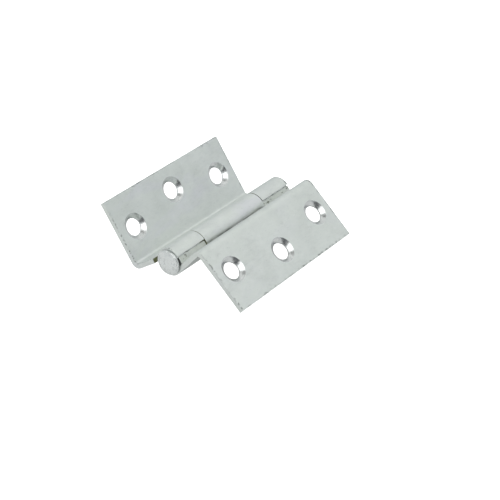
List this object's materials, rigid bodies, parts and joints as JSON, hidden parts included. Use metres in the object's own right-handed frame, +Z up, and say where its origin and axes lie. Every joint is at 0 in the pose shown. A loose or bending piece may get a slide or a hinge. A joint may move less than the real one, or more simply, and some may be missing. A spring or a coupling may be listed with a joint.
{
  "type": "cranked butt hinge",
  "caption": "Cranked butt hinge in zinc-plated sheet steel: folded leaves with staggered countersunk screw holes and rolled knuckles, turning on a headed pin.",
  "frame": {"origin": "centre of the hinge's footprint on the table it lies on, at the table's height, with the hinge open and resting on the fold of the one-knuckle leaf and the free edge of the two-knuckle leaf", "axes": "+X along the pin from its domed head to its riveted end, +Y towards the one-knuckle leaf's free edge, +Z up"},
  "size_m": [0.053, 0.0506, 0.0172],
  "materials": {
    "zinc_leaf": "bright zinc plate on rolled sheet steel, faintly mottled, with fine scuffs",
    "zinc_pin": "bright zinc plate on a drawn pin, smoother than the leaves"
  },
  "bodies": {
    "two_knuckle_side": {"two_knuckle_leaf": "zinc_leaf", "pin": "zinc_pin"},
    "one_knuckle_side": {"one_knuckle_leaf": "zinc_leaf"}
  },
  "joints": [
    {"name": "pin_joint", "type": "hinge", "parent": "two_knuckle_side", "child": "one_knuckle_side", "pos_m": [0, 0.0003, 0.00683], "axis": [1, 0, 0], "range_deg": [-150, 166]}
  ]
}
